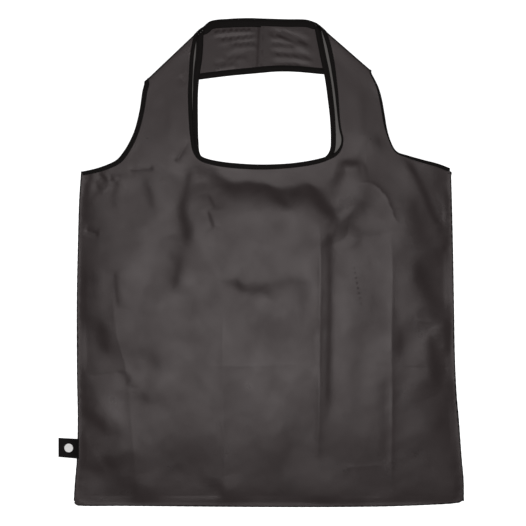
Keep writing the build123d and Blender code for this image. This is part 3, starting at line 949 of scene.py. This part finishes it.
def crossing(path, i):
    """Where a path crosses the line that the straps are cut at, between its points i and i + 1."""
    a, b = path[i], path[i + 1]
    return a + (b - a) * (CUT_STRAP - a[1]) / (b[1] - a[1])


def split_tape(face, edge, path, inward, place, seed, stands_for):
    """A binding cut where the straps begin, each part with its stitches."""
    above = path[:, 1] > CUT_STRAP
    starts = np.flatnonzero(np.diff(above.astype(int))) + 1
    made = []
    for k, index in enumerate(np.split(np.arange(len(path)), starts)):
        run = path[index]
        if index[0] > 0:
            run = np.vstack([crossing(path, index[0] - 1), run])
        if index[-1] < len(path) - 1:
            run = np.vstack([run, crossing(path, index[-1])])
        hand = "left" if run[:, 0].mean() < 0 else "right"
        on_strap = above[index[0]]
        part = f"strap_{hand}" if on_strap else hand if edge == "armhole" else "mouth"
        shows = tape_shows(face, edge, run)
        tape = tape_piece(f"{face}_{edge}_binding_{part}", run, inward, place, seed + k, shows)
        inset = STITCH_INSET * TAPE_WIDTH * shows
        row = stitch_piece(f"{face}_{edge}_stitches_{part}", run, inward, inset, STITCH_LIFT, place)
        if on_strap:
            bend(tape)
            bend(row)
        else:
            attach(tape, "mouth")
            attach(row, "mouth")
            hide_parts(*stands_for)
        made.append(tape)
    return made


for face, edges, place in (("front", FRONT_EDGES, lay_front), ("back", BACK_EDGES, lay_back)):
    neck = [f"{face}_neck_binding"]
    split_tape(face, "neck", edges["neck"], -1, place, 20, neck)
    for hand, inward in (("left", -1), ("right", 1)):
        path, armhole = edges[f"armhole_{hand}"], [f"{face}_armhole_binding_{hand}"]
        split_tape(face, "armhole", path, inward, place, 30, armhole)
    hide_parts(f"{face}_handle_inner_binding")
    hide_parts(f"{face}_handle_outer_binding")


# Half width, half height and height of the rolled seams.
ROLL = (1.15, 0.75, SEAM_Z - 0.15)
SIDES = {"left": SIDE_LEFT, "right": SIDE_RIGHT}
ZONES = {
    "bottom": (BOTTOM + 4, CUT_MIDDLE, "low"),
    "middle": (CUT_MIDDLE, CUT_UPPER, "high"),
    "upper": (CUT_UPPER, SHOULDER, "mouth"),
}
for side, line in SIDES.items():
    for zone, (low, high, which) in ZONES.items():
        name, path = f"side_seam_roll_{side}_{zone}", between(line, low, high)
        # The roll's shape is the real seam; its near-black cloth is painted shade along the bag's side.
        seam = seam_piece(name, path, *ROLL, edge_shade_cloth, 40 + len(zone))
        bend(seam)
        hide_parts(f"side_seam_{side}_{zone}")
# The hem roll too: its near-black cloth is painted shade along the bottom.
hem = seam_piece("bottom_seam_roll", BOTTOM_EDGE, *ROLL, edge_shade_cloth, 50)
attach(hem, "bottom_third")
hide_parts("bottom_seam")


def make_bartack(hand):
    """Close zigzag stitches that lock the armhole's binding to the side seam."""
    low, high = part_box(f"shoulder_bartack_{hand}")
    centre = (low + high) / 2 / MM
    count, pitch, reach, low_z, high_z = 13, 0.35, 1.7, 1.9, 2.25
    vertices, faces = [], []
    for k in range(count):
        x = centre.x + pitch * (k - count // 2)
        lean = pitch * (-1) ** k
        for end, half, z in ((-1, 0.1, low_z), (0, 0.2, high_z), (1, 0.1, low_z)):
            n = len(vertices)
            px, py = x + lean * end, centre.y + reach * end
            vertices += [(px - half, py, z), (px, py, z + half), (px + half, py, z), (px, py, z - half)]
            if end == -1:
                faces.append((n, n + 1, n + 2, n + 3))
            else:
                faces += [(n - 4 + i, n - 4 + (i + 1) % 4, n + (i + 1) % 4, n + i) for i in range(4)]
        faces.append((n + 3, n + 2, n + 1, n))
    made = make_object(f"shoulder_bartack_stitches_{hand}", vertices, faces, [thread])
    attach(made, "mouth")
    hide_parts(f"shoulder_bartack_{hand}")


for hand in SIDES:
    make_bartack(hand)


def make_centre_seam(face, height, above):
    """The seam that joins two straps at the middle of a band: turned-in edges and its stitches."""
    line = thin(np.array([SEAM_LOW, SEAM_TOP]) + [[0.1, 0.6], [-0.1, -0.6]], 2.0)[0]
    allowance = seam_piece(f"{face}_centre_seam_allowance", line, 2.2, 0.13, height, outside, 60)
    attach(allowance, "handles")
    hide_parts(f"{face}_handle_centre_seam")

    def flat(p, h):
        return np.column_stack([p, above + h])

    row = stitch_piece(f"{face}_centre_seam_stitches", line, 1, np.zeros(len(line)), 0.0, flat)
    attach(row, "handles")


make_centre_seam("front", FRONT_BAND_Z - 0.3, FRONT_BAND_Z + 0.2)
make_centre_seam("back", BACK_BAND_Z - 0.35, BACK_BAND_Z - 0.2)


def make_label():
    """A woven tab folded in two, with its cut ends sewn into the side seam."""
    low, high = (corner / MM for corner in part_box("side_label"))
    into_seam, thick, gap, middle_z = 3.6, 0.42, 0.18, 1.55
    length = high.x - low.x + into_seam
    outer, inner = thick + gap / 2, gap / 2
    section = [(length, outer), (1.6, outer), (0.7, outer * 0.92), (0.15, outer * 0.55), (0.0, 0.0)]
    section += [(u, -z) for u, z in section[-2::-1]]
    hollow = [(length, inner), (2.0, inner), (1.2, inner * 0.6), (0.9, 0.0)]
    hollow += [(u, -z) for u, z in hollow[-2::-1]]
    loop = section + hollow[::-1]
    stations = np.linspace(0, 1, 25)
    vertices, uv = [], []
    for t in stations:
        edge = 0.1 * math.exp(-min(t, 1 - t) * 22)
        for u, z in loop:
            share = u / length
            y = low.y + (high.y - low.y) * t + (1 - share) * (1.9 - 0.8 * t) - 0.9
            bow = 0.25 * math.sin(math.pi * t) * (1 - share)
            vertices.append((low.x + u, y, middle_z + z + edge * np.sign(z) + bow))
            uv.append((u + z, 20 * t))
    k = len(loop)
    faces = []
    for s in range(len(stations) - 1):
        faces += ring_faces(s * k, (s + 1) * k, k)
    faces += [list(range(k)), [(len(stations) - 1) * k + i for i in range(k)][::-1]]
    made = make_object("side_label_tab", vertices, faces, [label_cloth], uv=uv)
    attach(made, "bottom_third")
    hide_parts("side_label")


def make_disc():
    """A plain round patch on the tab, with a raised stitched rim."""
    low, high = (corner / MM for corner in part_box("label_disc"))
    centre, radius = (low + high) / 2, (high.x - low.x) / 2
    top, around = 2.5, 48
    profile = [
        (0.0, 0.14), (0.35, 0.15), (0.7, 0.14), (0.8, 0.1),
        (0.87, 0.2), (0.93, 0.22), (0.98, 0.15), (1.0, 0.0),
    ]
    vertices = [(centre.x, centre.y, top + profile[0][1])]
    for share, z in profile[1:]:
        for k in range(around):
            angle = 2 * math.pi * k / around
            r = radius * share * (1 + 0.008 * math.sin(12 * angle) * share)
            vertices.append((centre.x + r * math.cos(angle), centre.y + r * math.sin(angle), top + z))
    rings = len(profile) - 1
    faces = [(0, 1 + k, 1 + (k + 1) % around) for k in range(around)]
    for i in range(rings - 1):
        faces += ring_faces(1 + i * around, 1 + (i + 1) * around, around)
    faces.append([1 + (rings - 1) * around + k for k in range(around)][::-1])
    made = make_object("label_disc_patch", vertices, faces, [disc_cloth])
    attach(made, "bottom_third")
    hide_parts("label_disc")


make_label()
make_disc()


# ---- floor, light and camera

def make_floor():
    """A wide pale floor that glows a little, so that it shows as plain white."""
    half = 6.0
    corners = [(-half, -half, 0), (half, -half, 0), (half, half, 0), (-half, half, 0)]
    mesh = bpy.data.meshes.new("floor")
    mesh.from_pydata(corners, [], [(0, 1, 2, 3)])
    pale = Shading("floor")
    pale.feed(pale.shader, {
        "Base Color": (0.93, 0.93, 0.93, 1.0), "Roughness": 0.7,
        "Emission Color": (1.0, 1.0, 1.0, 1.0), "Emission Strength": 0.75,
    })
    mesh.materials.append(pale.material)
    link("floor", mesh)


def make_light(name, place, target, size, power):
    """A square lamp at a place, turned to a target."""
    data = bpy.data.lights.new(name, "AREA")
    data.size = size
    data.energy = power
    light = link(name, data)
    light.location = place
    light.rotation_euler = (Vector(target) - Vector(place)).to_track_quat("-Z", "Y").to_euler()


def make_world(strength):
    world = bpy.data.worlds.new("studio")
    world.use_nodes = True
    background = world.node_tree.nodes["Background"]
    background.inputs["Color"].default_value = (1.0, 1.0, 1.0, 1.0)
    background.inputs["Strength"].default_value = strength
    bpy.context.scene.world = world


def make_camera():
    """A long lens straight above the bag. width is how much it takes in, 4 mm above the floor."""
    data = bpy.data.cameras.new("camera")
    data.lens = 400
    data.sensor_width = 36
    width, centre_x, centre_y = 0.5423, -0.0046, 0.0565
    camera = link("camera", data)
    camera.location = (centre_x, centre_y, width * data.lens / data.sensor_width + 0.004)
    bpy.context.scene.camera = camera


make_floor()
make_light("softbox", (-1.0, 2.8, 12.0), (0, 0.05, 0), 3.6, 80)
make_light("overhead", (-0.025, 0.007, 0.9), (-0.025, 0.007, 0), 0.34, 2.1)
make_world(0.42)
make_camera()
bpy.context.scene.view_settings.view_transform = "Standard"
